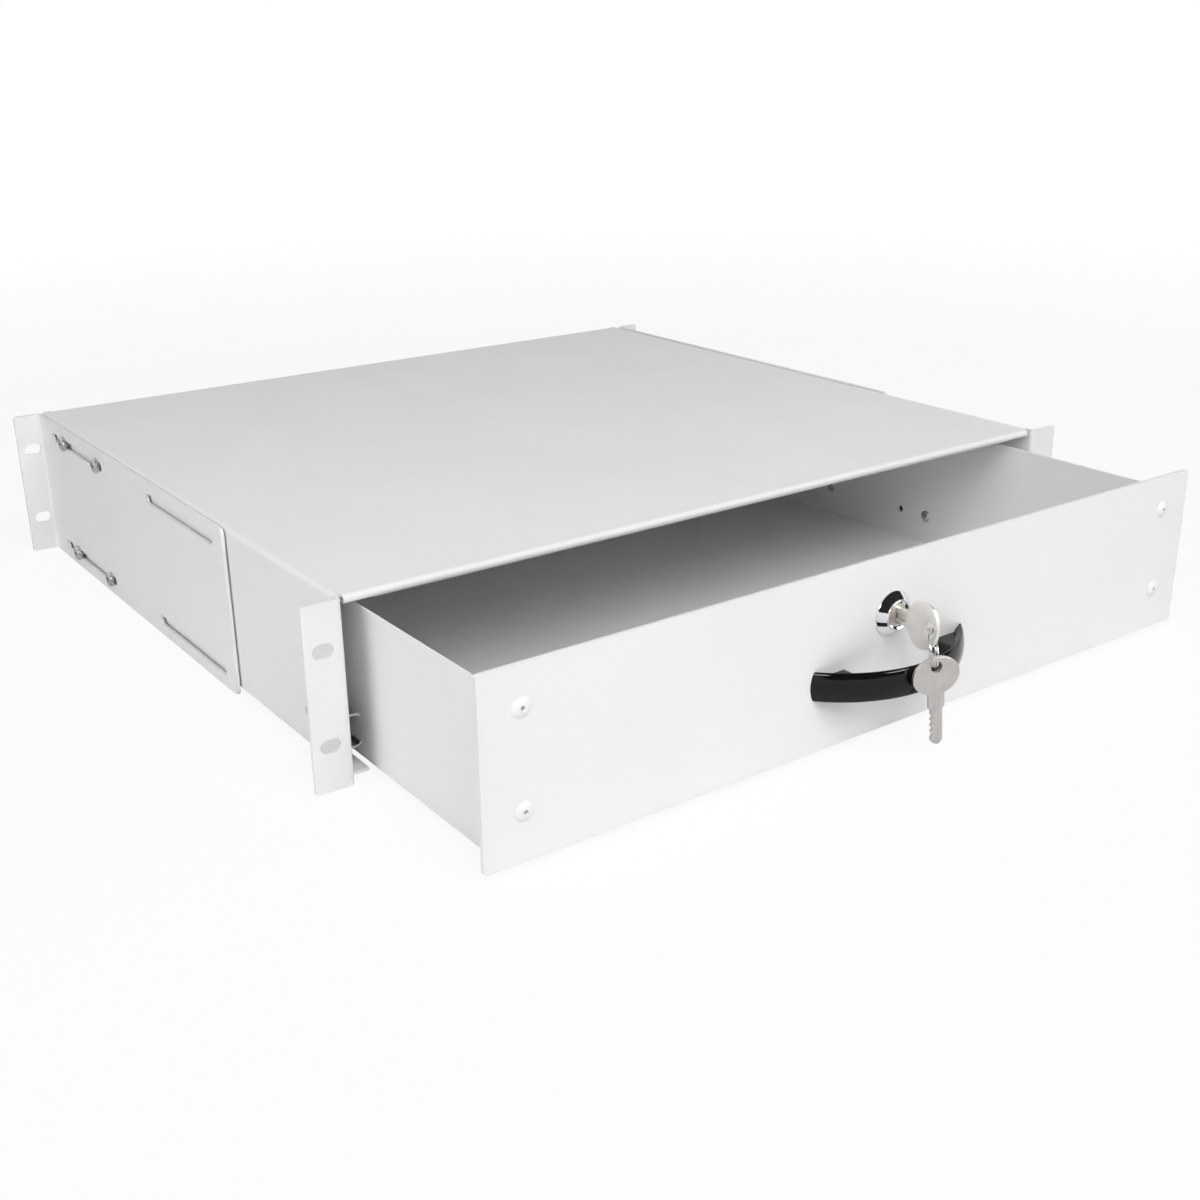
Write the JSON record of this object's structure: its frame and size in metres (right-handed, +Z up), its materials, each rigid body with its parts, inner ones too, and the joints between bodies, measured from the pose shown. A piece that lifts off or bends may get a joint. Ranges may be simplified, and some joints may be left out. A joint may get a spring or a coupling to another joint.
{
  "type": "lockable rack drawer",
  "caption": "Shallow lockable drawer on ball slides in a folded steel rack casing, with front ears, sliding rear brackets, bow handle and cam lock.",
  "frame": {"origin": "centre of the four slots in the front ears, on the ears' rear face, which lies on the rack's front rails", "axes": "+X right seen from the front, +Y into the rack, +Z up; the drawer opens towards -Y"},
  "size_m": [0.4826, 0.5459, 0.0878],
  "materials": {
    "casing_paint": "fine-textured light grey powder coat",
    "handle_plastic": "polished black moulding",
    "zinc_steel": "bright zinc plate",
    "chrome_plate": "mirror chrome",
    "nickel_plate": "satin nickel plate",
    "ring_steel": "nickel-plated spring steel",
    "wafer_brass": "stamped brass",
    "ball_steel": "polished bearing steel"
  },
  "bodies": {
    "casing": {"casing": "casing_paint", "rivet_nuts_left": "zinc_steel", "rivet_nuts_right": "zinc_steel", "bracket_screws_left": "zinc_steel", "bracket_screws_right": "zinc_steel", "cabinet_rail_left": "zinc_steel", "cabinet_rail_right": "zinc_steel", "cabinet_rail_rivets_left": "zinc_steel", "cabinet_rail_rivets_right": "zinc_steel"},
    "bracket_left": {"bracket_left": "casing_paint"},
    "bracket_right": {"bracket_right": "casing_paint"},
    "drawer": {"drawer_tray": "casing_paint", "front_panel": "casing_paint", "panel_rivets": "casing_paint", "handle": "handle_plastic", "handle_screws": "zinc_steel", "lock_body": "chrome_plate", "lock_nut": "zinc_steel", "drawer_rail_left": "zinc_steel", "drawer_rail_right": "zinc_steel", "drawer_rail_rivets_left": "zinc_steel", "drawer_rail_rivets_right": "zinc_steel"},
    "ball_cage_left": {"ball_cage_left": "zinc_steel", "balls_left": "ball_steel"},
    "ball_cage_right": {"ball_cage_right": "zinc_steel", "balls_right": "ball_steel"},
    "lock_plug": {"lock_plug": "chrome_plate", "lock_wafers": "wafer_brass", "lock_cam": "zinc_steel", "cam_screw": "zinc_steel"},
    "key": {"key": "nickel_plate"},
    "key_ring": {"key_ring": "ring_steel"},
    "spare_key": {"spare_key": "nickel_plate"}
  },
  "joints": [
    {"name": "drawer_slide", "type": "slide", "parent": "casing", "child": "drawer", "axis": [0, -1, 0], "range_m": [-0.103, 0.143]},
    {"name": "ball_cage_left_slide", "type": "slide", "parent": "casing", "child": "ball_cage_left", "axis": [0, -1, 0], "range_m": [-0.0515, 0.0715]},
    {"name": "ball_cage_right_slide", "type": "slide", "parent": "casing", "child": "ball_cage_right", "axis": [0, -1, 0], "range_m": [-0.0515, 0.0715]},
    {"name": "bracket_left_slide", "type": "slide", "parent": "casing", "child": "bracket_left", "axis": [0, 1, 0], "range_m": [-0.02, 0.005]},
    {"name": "bracket_right_slide", "type": "slide", "parent": "casing", "child": "bracket_right", "axis": [0, 1, 0], "range_m": [-0.02, 0.005]},
    {"name": "lock_turn", "type": "hinge", "parent": "drawer", "child": "lock_plug", "pos_m": [0, -0.1, 0.01595], "axis": [0, -1, 0], "range_deg": [0, 90]},
    {"name": "key_pull", "type": "slide", "parent": "lock_plug", "child": "key", "axis": [0, -1, 0], "range_m": [0, 0.024]},
    {"name": "key_ring_swing", "type": "hinge", "parent": "key", "child": "key_ring", "pos_m": [0, -0.1274, 0.01595], "axis": [-1, 0, 0], "range_deg": [0, 60]},
    {"name": "spare_key_swing", "type": "hinge", "parent": "key_ring", "child": "spare_key", "pos_m": [-0.001, -0.1328, -0.00045], "axis": [0.309, 0.9511, 0], "range_deg": [-25, 25]}
  ],
  "couplings": [
    {"joint": "ball_cage_left_slide", "follows": "drawer_slide", "ratio": 0.5},
    {"joint": "ball_cage_right_slide", "follows": "drawer_slide", "ratio": 0.5}
  ]
}
